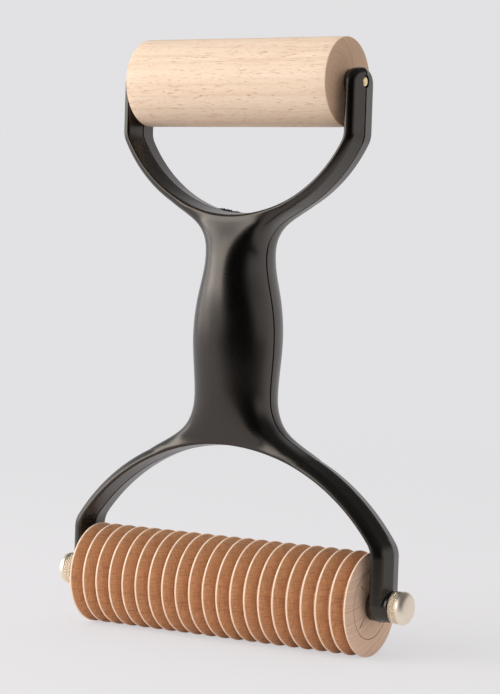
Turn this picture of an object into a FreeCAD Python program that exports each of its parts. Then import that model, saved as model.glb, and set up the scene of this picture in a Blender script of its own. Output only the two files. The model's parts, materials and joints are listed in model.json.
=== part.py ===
import FreeCAD, Part
import math
import os

import Sketcher

# Double-ended hand roller: one die-cast handle with a fork at each end.
# The upper fork carries a plain wooden roller on a pin, the lower fork a grooved
# wooden roller on an axle rod that is held by a knurled cap nut at each end.
# Millimetres. X runs along the rollers, Y from front to back, Z up. The origin is on
# the handle's centre line, midway between the two roller axes.

doc = FreeCAD.newDocument("double_ended_roller")

SIZES = {
    "axis_spacing": 187.25,
    # plain roller and its pin
    "plain_radius": 16.28,
    "plain_length": 85.9,
    "plain_edge": 0.4,
    "pin_radius": 1.75,
    "pin_inset": 0.25,
    "pin_mouth_radius": 2.15,
    "pin_mouth_depth": 0.5,
    # grooved roller
    "cutter_radius": 18.9,
    "strip_pitch": 5.95,
    "strip_count": 20,
    "land_width": 0.95,
    "groove_depth": 4.4,
    "groove_root": 0.35,
    # axle rod and cap nuts
    "axle_radius": 3.5,
    "thread_radius": 2.5,
    "thread_reach": 4.2,
    "nut_radius": 6.0,
    "nut_length": 6.9,
    "nut_dome": 1.5,
    "nut_knurl_length": 3.3,
    "nut_groove": 0.3,
    "nut_bore_depth": 4.6,
    # fits
    "running_clearance": 0.08,
    "seat_clearance": 0.02,
    "roller_end_play": 0.7,
    # forks: half depth front to back, measured from the parting plane, and the broken
    # edges of the outside, measured front to back and across
    "fork_half_depth": 8.5,
    "edge_depth": 1.9,
    "edge_width": 1.6,
    "fork_tip_round": 5.2,
    "fork_rim": 1.9,
    "flange_thickness": 1.9,
    # upper fork
    "upper_end_gap": 2.65,
    "upper_arch_margin": 5.4,
    "upper_arch_rise": 3.05,
    "upper_wall": 3.6,
    "upper_arm_wall": 3.8,
    "upper_ridge": 1.25,
    "upper_tip_reach": 5.2,
    "upper_bend": 7.0,
    "upper_outer_bend": 9.0,
    "upper_flare": 17.2,
    "upper_neck": 10.6,
    "upper_channel_crotch": 0.9,
    "upper_channel_side": 2.4,
    "upper_channel_spread": 3.3,
    "upper_boss_radius": 4.6,
    # lower fork
    "lower_end_gap": 2.6,
    "lower_arch_margin": 13.4,
    "lower_arch_rise": 23.1,
    "lower_wall": 3.6,
    "lower_arm_wall": 4.4,
    "lower_ridge": 1.75,
    "lower_tip_reach": 5.8,
    "lower_bend": 8.5,
    "lower_outer_bend": 10.0,
    "lower_flare": 15.8,
    "lower_neck": 14.3,
    "lower_channel_crotch": 0.9,
    "lower_channel_side": 2.6,
    "lower_channel_spread": 4.8,
    "lower_boss_radius": 5.6,
    "nut_seat_height": 0.5,
    # grip: the exponent of its oval sections, 2 for an ellipse
    "grip_squareness": 2.15,
    # grip sections whose level is measured up from the lower fork's crotch
    "foot_level": -1.5,
    "foot_half_width": 29.5,
    "foot_half_depth": 8.9,
    "lower_flare_level": 8.0,
    "lower_flare_half_width": 17.8,
    "lower_flare_half_depth": 11.9,
    "waist_level": 13.6,
    "waist_half_width": 15.5,
    "waist_half_depth": 14.1,
    "palm_level": 21.6,
    "palm_half_width": 14.8,
    "palm_half_depth": 15.6,
    "belly_level": 39.1,
    "belly_half_width": 15.6,
    "belly_half_depth": 17.6,
    # grip sections whose level is measured up from the upper fork's crotch
    "neck_level": -15.5,
    "neck_half_width": 11.25,
    "neck_half_depth": 15.1,
    "upper_flare_level": -4.0,
    "upper_flare_half_width": 14.4,
    "upper_flare_half_depth": 11.0,
    "head_level": 0.8,
    "head_half_width": 19.0,
    "head_half_depth": 9.4,
}

LOWER_SECTIONS = ("foot", "lower_flare", "waist", "palm", "belly")
UPPER_SECTIONS = ("neck", "upper_flare", "head")


def make_sheet():
    sheet = doc.addObject("Spreadsheet::Sheet", "Sizes")
    for row, (alias, number) in enumerate(SIZES.items(), 1):
        sheet.set(f"A{row}", alias)
        sheet.set(f"B{row}", str(number))
        sheet.setAlias(f"B{row}", alias)
    doc.recompute()
    return sheet


sheet = make_sheet()


def size(alias):
    return float(sheet.get(alias))


def plane(body, role):
    for feature in body.Origin.OriginFeatures:
        if feature.Role == role:
            return feature
    raise ValueError(role)


def new_body(name):
    body = doc.addObject("PartDesign::Body", name)
    body.Label = name
    body.AllowCompound = True
    return body


def new_sketch(body, name, role, offset=None):
    """A sketch on one of the body's origin planes, moved along the plane's normal by offset."""
    sketch = body.newObject("Sketcher::SketchObject", name)
    sketch.AttachmentSupport = (plane(body, role), [""])
    sketch.MapMode = "FlatFace"
    if offset:
        sketch.setExpression("AttachmentOffset.Base.z", offset)
    return sketch


def drive(sketch, kind, *parts):
    """Add a dimension whose last part is the expression that drives it, after its start value."""
    *geometry, start, expression = parts
    index = sketch.addConstraint(Sketcher.Constraint(kind, *geometry, start))
    sketch.setExpression(f"Constraints[{index}]", expression)


def settle(sketch):
    if sketch.solve() != 0:
        raise RuntimeError(f"{sketch.Label} does not solve")


def line(start, end):
    return Part.LineSegment(FreeCAD.Vector(*start, 0), FreeCAD.Vector(*end, 0))


def arc_between(centre, start, end, clockwise):
    """A round stretch about centre from start to end."""
    radius = math.hypot(start[0] - centre[0], start[1] - centre[1])
    first = math.atan2(start[1] - centre[1], start[0] - centre[0])
    last = math.atan2(end[1] - centre[1], end[0] - centre[0])
    if clockwise:
        first, last = last, first
    circle = Part.Circle(FreeCAD.Vector(*centre, 0), FreeCAD.Vector(0, 0, 1), radius)
    return Part.ArcOfCircle(circle, first, last)


def join(sketch, first, first_end, second, second_end, tangent):
    kind = "Tangent" if tangent else "Coincident"
    sketch.addConstraint(Sketcher.Constraint(kind, first, first_end, second, second_end))


class Arch:
    """Numbers of one round-ended fork profile: a big arch, two bends and two straight sides.

    up is 1 where the fork opens upwards and -1 where it opens downwards.
    """

    def __init__(self, up, half_width, top, centre, radius, bend):
        self.up = up
        self.half_width = half_width
        self.top = top
        self.centre = centre
        self.radius = radius
        self.bend = bend
        self.bend_x = half_width - bend
        drop = math.sqrt((radius - bend) ** 2 - self.bend_x ** 2)
        self.bend_z = centre - up * drop
        scale = radius / (radius - bend)
        self.foot_x = self.bend_x * scale
        self.foot_z = centre + (self.bend_z - centre) * scale


def draw_sides(sketch, arch):
    """Top line, right side, right bend; then left bend and left side. Gives their numbers."""
    half = arch.half_width
    turns_back = arch.up > 0
    top = sketch.addGeometry(line((-half, arch.top), (half, arch.top)))
    right = sketch.addGeometry(line((half, arch.top), (half, arch.bend_z)))
    left = sketch.addGeometry(line((-half, arch.bend_z), (-half, arch.top)))
    centre, side, foot = (arch.bend_x, arch.bend_z), (half, arch.bend_z), (arch.foot_x, arch.foot_z)
    right_bend = sketch.addGeometry(arc_between(centre, side, foot, turns_back))
    centre, side, foot = [(-across, height) for across, height in (centre, side, foot)]
    left_bend = sketch.addGeometry(arc_between(centre, foot, side, turns_back))
    return top, right, right_bend, left_bend, left


def ends(up):
    """Which end of a round stretch comes first when the profile is walked from right to left."""
    return (2, 1) if up > 0 else (1, 2)


def fix_sides(sketch, arch, parts, half_width, top_height):
    top, right, right_bend, left_bend, left = parts
    near, far = ends(arch.up)
    join(sketch, top, 2, right, 1, False)
    join(sketch, left, 2, top, 1, False)
    join(sketch, right, 2, right_bend, near, True)
    join(sketch, left_bend, far, left, 1, True)
    sketch.addConstraint(Sketcher.Constraint("Vertical", right))
    sketch.addConstraint(Sketcher.Constraint("Vertical", left))
    sketch.addConstraint(Sketcher.Constraint("Symmetric", top, 1, top, 2, -2))
    sketch.addConstraint(Sketcher.Constraint("Equal", right_bend, left_bend))
    drive(sketch, "DistanceX", top, 1, top, 2, 2 * arch.half_width, f"2 * ({half_width})")
    drive(sketch, "DistanceY", -1, 1, top, 1, arch.top, top_height)


def draw_gap(sketch, arch, words):
    """A closed arch profile: the space between the arms of a fork."""
    near, far = ends(arch.up)
    parts = draw_sides(sketch, arch)
    top, right, right_bend, left_bend, left = parts
    crown = sketch.addGeometry(
        arc_between((0, arch.centre), (arch.foot_x, arch.foot_z), (-arch.foot_x, arch.foot_z), arch.up > 0)
    )
    fix_sides(sketch, arch, parts, words["half_width"], words["top"])
    join(sketch, right_bend, far, crown, near, True)
    join(sketch, crown, far, left_bend, near, True)
    sketch.addConstraint(Sketcher.Constraint("PointOnObject", crown, 3, -2))
    drive(sketch, "Radius", right_bend, arch.bend, words["bend"])
    drive(sketch, "Radius", crown, arch.radius, words["radius"])
    drive(sketch, "DistanceY", -1, 1, crown, 3, arch.centre, words["centre"])
    settle(sketch)


def draw_outline(sketch, arch, flare, neck, words):
    """The outside of a fork with the two hollow flares that run into the grip."""
    near, far = ends(arch.up)
    parts = draw_sides(sketch, arch)
    top, right, right_bend, left_bend, left = parts
    reach = arch.radius + flare
    flare_x = neck + flare
    flare_z = arch.centre - arch.up * math.sqrt(reach ** 2 - flare_x ** 2)
    scale = arch.radius / reach
    touch = (flare_x * scale, arch.centre + (flare_z - arch.centre) * scale)
    mirrored = (-touch[0], touch[1])
    clockwise = arch.up > 0
    right_arch = sketch.addGeometry(
        arc_between((0, arch.centre), (arch.foot_x, arch.foot_z), touch, clockwise)
    )
    left_arch = sketch.addGeometry(
        arc_between((0, arch.centre), mirrored, (-arch.foot_x, arch.foot_z), clockwise)
    )
    right_flare = sketch.addGeometry(
        arc_between((flare_x, flare_z), touch, (neck, flare_z), not clockwise)
    )
    left_flare = sketch.addGeometry(
        arc_between((-flare_x, flare_z), (-neck, flare_z), mirrored, not clockwise)
    )
    base = sketch.addGeometry(line((neck, flare_z), (-neck, flare_z)))
    fix_sides(sketch, arch, parts, words["half_width"], words["top"])
    join(sketch, right_bend, far, right_arch, near, True)
    join(sketch, right_arch, far, right_flare, far, True)
    join(sketch, right_flare, near, base, 1, False)
    join(sketch, base, 2, left_flare, far, False)
    join(sketch, left_flare, near, left_arch, near, True)
    join(sketch, left_arch, far, left_bend, near, True)
    sketch.addConstraint(Sketcher.Constraint("Coincident", right_arch, 3, left_arch, 3))
    sketch.addConstraint(Sketcher.Constraint("PointOnObject", right_arch, 3, -2))
    sketch.addConstraint(Sketcher.Constraint("Equal", right_arch, left_arch))
    sketch.addConstraint(Sketcher.Constraint("Equal", right_flare, left_flare))
    sketch.addConstraint(Sketcher.Constraint("Symmetric", base, 1, base, 2, -2))
    sketch.addConstraint(Sketcher.Constraint("Horizontal", right_flare, 3, base, 1))
    drive(sketch, "Radius", right_bend, arch.bend, words["bend"])
    drive(sketch, "Radius", right_arch, arch.radius, words["radius"])
    drive(sketch, "Radius", right_flare, flare, words["flare"])
    drive(sketch, "DistanceY", -1, 1, right_arch, 3, arch.centre, words["centre"])
    drive(sketch, "DistanceX", base, 2, base, 1, 2 * neck, f"2 * {words['neck']}")
    settle(sketch)


HALF_SPACING = "Sizes.axis_spacing / 2"
CUTTER_LENGTH = "(Sizes.strip_count * Sizes.strip_pitch + Sizes.land_width)"


def fork_words(fork):
    """Expressions of one fork's profile, with heights signed towards the fork's open end."""
    sign = "" if fork == "upper" else "-1 * "
    roller = "Sizes.plain_length" if fork == "upper" else CUTTER_LENGTH
    own = f"Sizes.{fork}_"
    gap = f"({roller} / 2 + {own}end_gap)"
    radius = f"({gap} + {own}arch_margin)"
    rise = f"{own}arch_rise"
    crotch = f"({HALF_SPACING} + {rise} - {radius})"
    return {
        "sign": sign,
        "gap": gap,
        "radius": radius,
        "centre": f"{sign}({HALF_SPACING} + {rise})",
        "crotch": f"{sign}{crotch}",
        "tip": f"({HALF_SPACING} + {own}tip_reach)",
        "channel_radius": f"({radius} + {own}channel_spread)",
        "channel_centre": f"{sign}({crotch} - {own}channel_crotch + {radius} + {own}channel_spread)",
    }


class Fork:
    """Numbers of one fork, worked out from the sheet the same way as its expressions."""

    def __init__(self, name):
        self.name = name
        self.up = 1 if name == "upper" else -1
        self.words = fork_words(name)
        half_spacing = size("axis_spacing") / 2
        if name == "upper":
            roller = size("plain_length")
        else:
            roller = size("strip_count") * size("strip_pitch") + size("land_width")
        self.gap = roller / 2 + self.own("end_gap")
        self.radius = self.gap + self.own("arch_margin")
        self.axis = self.up * half_spacing
        self.centre = self.up * (half_spacing + self.own("arch_rise"))
        self.crotch = self.centre - self.up * self.radius
        self.tip = self.up * (half_spacing + self.own("tip_reach"))
        self.roller_end = roller / 2
        self.outer = self.gap + self.own("arm_wall") + self.own("ridge")

    def own(self, word):
        return size(f"{self.name}_{word}")


def fork_outline(body, fork, name, inset, inset_words, offset=None):
    """The fork's outline, moved in from the parting plane's outline by inset."""
    words = fork.words
    own = f"Sizes.{fork.name}_"
    sketch = new_sketch(body, name, "XZ_Plane", offset)
    radius = fork.radius + fork.own("wall") + fork.own("ridge") - inset
    tip = fork.tip - fork.up * inset
    bend = fork.own("outer_bend") - inset
    arch = Arch(fork.up, fork.outer - inset, tip, fork.centre, radius, bend)
    draw_outline(sketch, arch, fork.own("flare") + inset, fork.own("neck") - inset, {
        "half_width": f"{words['gap']} + {own}arm_wall + {own}ridge - {inset_words}",
        "top": f"{words['sign']}({words['tip']} - {inset_words})",
        "centre": words["centre"],
        "radius": f"{words['radius']} + {own}wall + {own}ridge - {inset_words}",
        "bend": f"{own}outer_bend - {inset_words}",
        "flare": f"{own}flare + {inset_words}",
        "neck": f"({own}neck - {inset_words})",
    })
    return sketch


def make_fork_blank(fork):
    """The fork as a solid plate, drafted both ways from the parting plane, with broken edges."""
    own = f"Sizes.{fork.name}_"
    body = new_body(f"{fork.name}_fork_blank")
    pad = body.newObject("PartDesign::Pad", f"{fork.name}_plate")
    pad.Profile = fork_outline(body, fork, f"{fork.name}_outline", 0, "0")
    pad.SideType = "Two sides"
    core_depth = "(Sizes.fork_half_depth - Sizes.edge_depth)"
    for suffix in ("", "2"):
        pad.setExpression(f"Length{suffix}", core_depth)
        pad.setExpression(f"TaperAngle{suffix}", f"-1 * atan({own}ridge / Sizes.fork_half_depth)")
    doc.recompute()
    half_depth = size("fork_half_depth")
    inset = fork.own("ridge") * (half_depth - size("edge_depth")) / half_depth
    inset_words = f"{own}ridge * {core_depth} / Sizes.fork_half_depth"
    edge = body.newObject("PartDesign::Pad", f"{fork.name}_front_edge")
    edge.Profile = fork_outline(body, fork, f"{fork.name}_edge_outline", inset, inset_words, core_depth)
    edge.setExpression("Length", "Sizes.edge_depth")
    edge.setExpression("TaperAngle", "-1 * atan(Sizes.edge_width / Sizes.edge_depth)")
    doc.recompute()
    mirror_feature(body, f"{fork.name}_rear_edge", edge, "XZ_Plane")
    round_tips(body, fork)
    return body


def round_tips(body, fork):
    """Round the tips' corners, front and back, right across the fork."""
    depth, corner = size("fork_half_depth"), size("fork_tip_round")
    up, tip = fork.up, fork.tip
    over = 1.0
    sketch = new_sketch(body, f"{fork.name}_tip_corner", "YZ_Plane")
    inner, low = depth - corner, tip - up * corner
    points = [(inner, tip), (inner, tip + up * over), (depth + over, tip + up * over),
              (depth + over, low), (depth, low)]
    for start, end in zip(points, points[1:]):
        sketch.addGeometry(line(start, end))
    curve = sketch.addGeometry(arc_between((inner, low), points[-1], points[0], up < 0))
    first, last = (1, 2) if up > 0 else (2, 1)
    for index in range(3):
        join(sketch, index, 2, index + 1, 1, False)
    join(sketch, 3, 2, curve, first, False)
    join(sketch, curve, last, 0, 1, False)
    for index, kind in enumerate(("Vertical", "Horizontal", "Vertical", "Horizontal")):
        sketch.addConstraint(Sketcher.Constraint(kind, index))
    sign, tip_words = fork.words["sign"], fork.words["tip"]
    drive(sketch, "DistanceX", -1, 1, 0, 1, inner, "Sizes.fork_half_depth - Sizes.fork_tip_round")
    drive(sketch, "DistanceY", -1, 1, 0, 1, tip, f"{sign}{tip_words}")
    drive(sketch, "DistanceX", -1, 1, 3, 2, depth, "Sizes.fork_half_depth")
    drive(sketch, "DistanceY", -1, 1, 3, 2, low, f"{sign}({tip_words} - Sizes.fork_tip_round)")
    drive(sketch, "Radius", curve, corner, "Sizes.fork_tip_round")
    drive(sketch, "DistanceX", 3, 2, 3, 1, over, f"{over}")
    drive(sketch, "DistanceY", *((0, 1, 0, 2) if up > 0 else (0, 2, 0, 1)), over, f"{over}")
    settle(sketch)
    cut = pocket(body, f"{fork.name}_front_tip_round", sketch, f"4 * {fork.words['gap']}")
    mirror_feature(body, f"{fork.name}_rear_tip_round", cut, "XZ_Plane")


def edges_of(shape, test):
    return [f"Edge{number}" for number, edge in enumerate(shape.Edges, 1) if test(edge)]


def oval(height, width, depth, squareness):
    """A closed oval section with a flatter flank than an ellipse as squareness grows past 2."""
    points = []
    steps = 16
    for step in range(steps):
        angle = 2 * math.pi * step / steps
        cosine, sine = math.cos(angle), math.sin(angle)
        x = width * math.copysign(abs(cosine) ** (2 / squareness), cosine)
        y = depth * math.copysign(abs(sine) ** (2 / squareness), sine)
        points.append(FreeCAD.Vector(x, y, height))
    curve = Part.BSplineCurve()
    curve.interpolate(Points=points, PeriodicFlag=True)
    corners = [curve.parameter(points[step]) for step in range(0, steps, steps // 4)]
    corners[0] = curve.FirstParameter
    corners.append(curve.LastParameter)
    return Part.Wire([curve.toShape(start, end) for start, end in zip(corners, corners[1:])])


def make_grip(lower, upper):
    """The palm grip: one smooth skin through oval sections, which no sketch feature gives."""
    sections = []
    for fork, names in ((lower, LOWER_SECTIONS), (upper, UPPER_SECTIONS)):
        for name in names:
            height = fork.crotch + size(f"{name}_level")
            width = size(f"{name}_half_width")
            depth = size(f"{name}_half_depth")
            sections.append(oval(height, width, depth, size("grip_squareness")))
    grip = doc.addObject("Part::Feature", "grip_blank")
    grip.Shape = Part.makeLoft(sections, True, False)
    return grip


def make_casting_blank(lower, upper):
    blank = doc.addObject("Part::MultiFuse", "casting_blank")
    blank.Shapes = [make_grip(lower, upper), make_fork_blank(lower), make_fork_blank(upper)]
    blank.Refine = False
    doc.recompute()
    return blank


def mirror_feature(body, name, feature, role):
    """Repeat a feature on the other side of one of the body's origin planes."""
    mirror = body.newObject("PartDesign::Mirrored", name)
    mirror.Originals = [feature]
    mirror.MirrorPlane = (plane(body, role), [""])
    body.Tip = mirror
    doc.recompute()


def pocket(body, name, sketch, length):
    """Cut the sketch's shape evenly to both sides of its plane."""
    cut = body.newObject("PartDesign::Pocket", name)
    cut.Profile = sketch
    cut.SideType = "Symmetric"
    cut.setExpression("Length", length)
    doc.recompute()
    return cut


def open_fork(body, fork):
    """Cut the roller's space between the arms and the shallow channel inside them."""
    words = fork.words
    own = f"Sizes.{fork.name}_"
    overshoot = 5.0
    sketch = new_sketch(body, f"{fork.name}_gap", "XZ_Plane")
    top = fork.tip + fork.up * overshoot
    arch = Arch(fork.up, fork.gap, top, fork.centre, fork.radius, fork.own("bend"))
    draw_gap(sketch, arch, {
        "half_width": words["gap"],
        "top": f"{words['sign']}({words['tip']} + {overshoot})",
        "centre": words["centre"],
        "radius": words["radius"],
        "bend": f"{own}bend",
    })
    pocket(body, f"{fork.name}_roller_space", sketch, "4 * Sizes.fork_half_depth")
    sketch = new_sketch(body, f"{fork.name}_channel_outline", "XZ_Plane")
    radius = fork.radius + fork.own("channel_spread")
    centre = fork.crotch - fork.up * (fork.own("channel_crotch") - radius)
    top = fork.tip - fork.up * size("fork_rim")
    half = fork.gap + fork.own("channel_side")
    draw_gap(sketch, Arch(fork.up, half, top, centre, radius, fork.own("bend")), {
        "half_width": f"{words['gap']} + {own}channel_side",
        "top": f"{words['sign']}({words['tip']} - Sizes.fork_rim)",
        "centre": words["channel_centre"],
        "radius": words["channel_radius"],
        "bend": f"{own}bend",
    })
    depth = "2 * (Sizes.fork_half_depth - Sizes.flange_thickness)"
    pocket(body, f"{fork.name}_channel", sketch, depth)


def new_disc(body, name, centre_height, radius, offset=None):
    """A circle about a roller axis, on a plane across the axis."""
    sketch = new_sketch(body, name, "YZ_Plane", offset)
    height, height_words = centre_height
    start_radius, radius_words = radius
    centre = FreeCAD.Vector(0, height, 0)
    circle = sketch.addGeometry(Part.Circle(centre, FreeCAD.Vector(0, 0, 1), start_radius))
    sketch.addConstraint(Sketcher.Constraint("PointOnObject", circle, 3, -2))
    drive(sketch, "DistanceY", -1, 1, circle, 3, height, height_words)
    drive(sketch, "Radius", circle, start_radius, radius_words)
    settle(sketch)
    return sketch


def add_bosses(body, fork, inner, outer):
    """A round boss in each arm, from near the roller's end to the outer seat."""
    axis = (fork.axis, f"{fork.words['sign']}{HALF_SPACING}")
    radius = (fork.own("boss_radius"), f"Sizes.{fork.name}_boss_radius")
    sketch = new_disc(body, f"{fork.name}_boss_circle", axis, radius, inner)
    pad = body.newObject("PartDesign::Pad", f"{fork.name}_right_boss")
    pad.Profile = sketch
    pad.setExpression("Length", f"{outer} - ({inner})")
    doc.recompute()
    mirror_feature(body, f"{fork.name}_left_boss", pad, "YZ_Plane")


def bore_arms(body, fork, radius):
    """One hole through both arms, along the roller axis."""
    axis = (fork.axis, f"{fork.words['sign']}{HALF_SPACING}")
    sketch = new_disc(body, f"{fork.name}_bore_circle", axis, radius)
    pocket(body, f"{fork.name}_bore", sketch, f"4 * {fork.words['gap']}")


def widen_pin_mouths(body, fork):
    """A shallow ring sunk round each end of the pin."""
    axis = (fork.axis, HALF_SPACING)
    radius = (size("pin_mouth_radius"), "Sizes.pin_mouth_radius")
    sketch = new_disc(body, "pin_mouth_circle", axis, radius, f"{UPPER_SIDE} - Sizes.pin_mouth_depth")
    cut = body.newObject("PartDesign::Pocket", "right_pin_mouth")
    cut.Profile = sketch
    cut.Reversed = True
    cut.setExpression("Length", "2 * Sizes.pin_mouth_depth")
    doc.recompute()
    mirror_feature(body, "left_pin_mouth", cut, "YZ_Plane")


PLAIN_END = "Sizes.plain_length / 2"
CUTTER_END = f"{CUTTER_LENGTH} / 2"
UPPER_WALL = "Sizes.upper_end_gap + Sizes.upper_arm_wall"
UPPER_SIDE = f"({PLAIN_END} + {UPPER_WALL} + Sizes.upper_ridge)"
LOWER_WALL = "Sizes.lower_end_gap + Sizes.lower_arm_wall"
LOWER_SIDE = f"({CUTTER_END} + {LOWER_WALL} + Sizes.lower_ridge)"
NUT_SEAT = f"({LOWER_SIDE} + Sizes.nut_seat_height)"


def make_handle(lower, upper):
    body = new_body("handle_casting")
    body.BaseFeature = make_casting_blank(lower, upper)
    doc.recompute()
    for fork in (upper, lower):
        open_fork(body, fork)
    add_bosses(body, upper, f"{PLAIN_END} + Sizes.roller_end_play", f"{PLAIN_END} + {UPPER_WALL}")
    add_bosses(body, lower, f"{CUTTER_END} + Sizes.roller_end_play", NUT_SEAT)
    clearance = size("seat_clearance")
    pin_hole = (size("pin_radius") + clearance, "Sizes.pin_radius + Sizes.seat_clearance")
    rod_hole = (size("thread_radius") + clearance, "Sizes.thread_radius + Sizes.seat_clearance")
    bore_arms(body, upper, pin_hole)
    bore_arms(body, lower, rod_hole)
    widen_pin_mouths(body, upper)
    return body


def profile(sketch, points, fixed):
    """A closed straight-sided outline; fixed gives each point's expressions."""
    count = len(points)
    for index in range(count):
        sketch.addGeometry(line(points[index], points[(index + 1) % count]))
    for index in range(count):
        sketch.addConstraint(Sketcher.Constraint("Coincident", index, 2, (index + 1) % count, 1))
    for index, (across, up) in enumerate(fixed):
        drive(sketch, "DistanceX", -1, 1, index, 1, points[index][0], across)
        drive(sketch, "DistanceY", -1, 1, index, 1, points[index][1], up)
    settle(sketch)


def turn(body, name, sketch, kind="PartDesign::Revolution"):
    """Turn a sketch about the body's X axis."""
    feature = body.newObject(kind, name)
    feature.Profile = sketch
    feature.ReferenceAxis = (plane(body, "X_Axis"), [""])
    feature.Angle = 360
    doc.recompute()
    return feature


def place(body, expression):
    body.setExpression("Placement.Base.z", expression)


def tube(name, length, outer, inner, height):
    """A round bar along X with a bore through it, about a roller axis at the given height."""
    body = new_body(name)
    sketch = new_sketch(body, f"{name}_circles", "YZ_Plane")
    for start, words in (outer, inner):
        circle = sketch.addGeometry(Part.Circle(FreeCAD.Vector(), FreeCAD.Vector(0, 0, 1), start))
        sketch.addConstraint(Sketcher.Constraint("Coincident", circle, 3, -1, 1))
        drive(sketch, "Radius", circle, start, words)
    settle(sketch)
    pad = body.newObject("PartDesign::Pad", f"{name}_bar")
    pad.Profile = sketch
    pad.SideType = "Symmetric"
    pad.setExpression("Length", length)
    place(body, height)
    doc.recompute()
    return body


def make_plain_roller():
    clearance = size("running_clearance")
    outer = (size("plain_radius"), "Sizes.plain_radius")
    bore = (size("pin_radius") + clearance, "Sizes.pin_radius + Sizes.running_clearance")
    body = tube("plain_roller", "Sizes.plain_length", outer, bore, HALF_SPACING)
    base = body.Tip

    def is_rim(edge):
        return isinstance(edge.Curve, Part.Circle) and edge.Curve.Radius > size("plain_radius") / 2

    rims = body.newObject("PartDesign::Chamfer", "plain_roller_rims")
    rims.Base = (base, edges_of(base.Shape, is_rim))
    rims.setExpression("Size", "Sizes.plain_edge")
    doc.recompute()
    return body


def make_pin():
    """The plain roller's pin, seated in the upper fork's bores a little below the surface."""
    body = new_body("plain_roller_pin")
    sketch = new_sketch(body, "pin_circle", "YZ_Plane")
    radius = size("pin_radius")
    circle = sketch.addGeometry(Part.Circle(FreeCAD.Vector(), FreeCAD.Vector(0, 0, 1), radius))
    sketch.addConstraint(Sketcher.Constraint("Coincident", circle, 3, -1, 1))
    drive(sketch, "Radius", circle, radius, "Sizes.pin_radius")
    pad = body.newObject("PartDesign::Pad", "pin_bar")
    pad.Profile = sketch
    pad.SideType = "Symmetric"
    pad.setExpression("Length", f"2 * ({UPPER_SIDE} - Sizes.pin_inset)")
    place(body, HALF_SPACING)
    doc.recompute()
    return body


def make_cutter_roller():
    """The grooved roller: a bored bar with a row of V grooves that leaves narrow lands."""
    clearance = size("running_clearance")
    outer = (size("cutter_radius"), "Sizes.cutter_radius")
    bore = (size("axle_radius") + clearance, "Sizes.axle_radius + Sizes.running_clearance")
    body = tube("cutter_roller", CUTTER_LENGTH, outer, bore, f"-1 * {HALF_SPACING}")
    pitch = size("strip_pitch")
    count = size("strip_count")
    half = (pitch - size("land_width")) / 2
    root = size("groove_root")
    top = size("cutter_radius")
    bottom = top - size("groove_depth")
    middle = -pitch * (count - 1) / 2
    middle_words = "-1 * Sizes.strip_pitch * (Sizes.strip_count - 1) / 2"
    half_words = "(Sizes.strip_pitch - Sizes.land_width) / 2"
    floor_words = "Sizes.cutter_radius - Sizes.groove_depth"
    over = 1.0
    mouth = half + over * (half - root) / size("groove_depth")
    mouth_words = f"({half_words} + {over} * ({half_words} - Sizes.groove_root) / Sizes.groove_depth)"
    over_words = f"Sizes.cutter_radius + {over}"
    sketch = new_sketch(body, "groove_section", "XZ_Plane")
    points = [
        (middle - mouth, top + over),
        (middle - root, bottom),
        (middle + root, bottom),
        (middle + mouth, top + over),
    ]
    profile(sketch, points, [
        (f"{middle_words} - {mouth_words}", over_words),
        (f"{middle_words} - Sizes.groove_root", floor_words),
        (f"{middle_words} + Sizes.groove_root", floor_words),
        (f"{middle_words} + {mouth_words}", over_words),
    ])
    groove = turn(body, "first_groove", sketch, "PartDesign::Groove")
    row = body.newObject("PartDesign::LinearPattern", "grooves")
    row.Originals = [groove]
    row.Direction = (plane(body, "X_Axis"), [""])
    row.setExpression("Length", "Sizes.strip_pitch * (Sizes.strip_count - 1)")
    row.setExpression("Occurrences", "Sizes.strip_count")
    body.Tip = row
    doc.recompute()
    return body


def make_axle():
    """The grooved roller's rod: full thickness between the bosses, thinner through the arms."""
    body = new_body("cutter_axle")
    shoulder_words = f"{CUTTER_END} + Sizes.roller_end_play"
    end_words = f"{NUT_SEAT} + Sizes.thread_reach"
    shoulder = lower.roller_end + size("roller_end_play")
    end = lower.outer + size("nut_seat_height") + size("thread_reach")
    thick, thin = size("axle_radius"), size("thread_radius")
    sketch = new_sketch(body, "axle_section", "XZ_Plane")
    right = [(end, thin), (shoulder, thin), (shoulder, thick)]
    left = [(-across, up) for across, up in reversed(right)]
    profile(sketch, [(-end, 0), (end, 0)] + right + left, [
        (f"-1 * ({end_words})", "0"),
        (end_words, "0"),
        (end_words, "Sizes.thread_radius"),
        (shoulder_words, "Sizes.thread_radius"),
        (shoulder_words, "Sizes.axle_radius"),
        (f"-1 * ({shoulder_words})", "Sizes.axle_radius"),
        (f"-1 * ({shoulder_words})", "Sizes.thread_radius"),
        (f"-1 * ({end_words})", "Sizes.thread_radius"),
    ])
    turn(body, "axle_rod", sketch)
    place(body, f"-1 * {HALF_SPACING}")
    doc.recompute()
    return body


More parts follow.
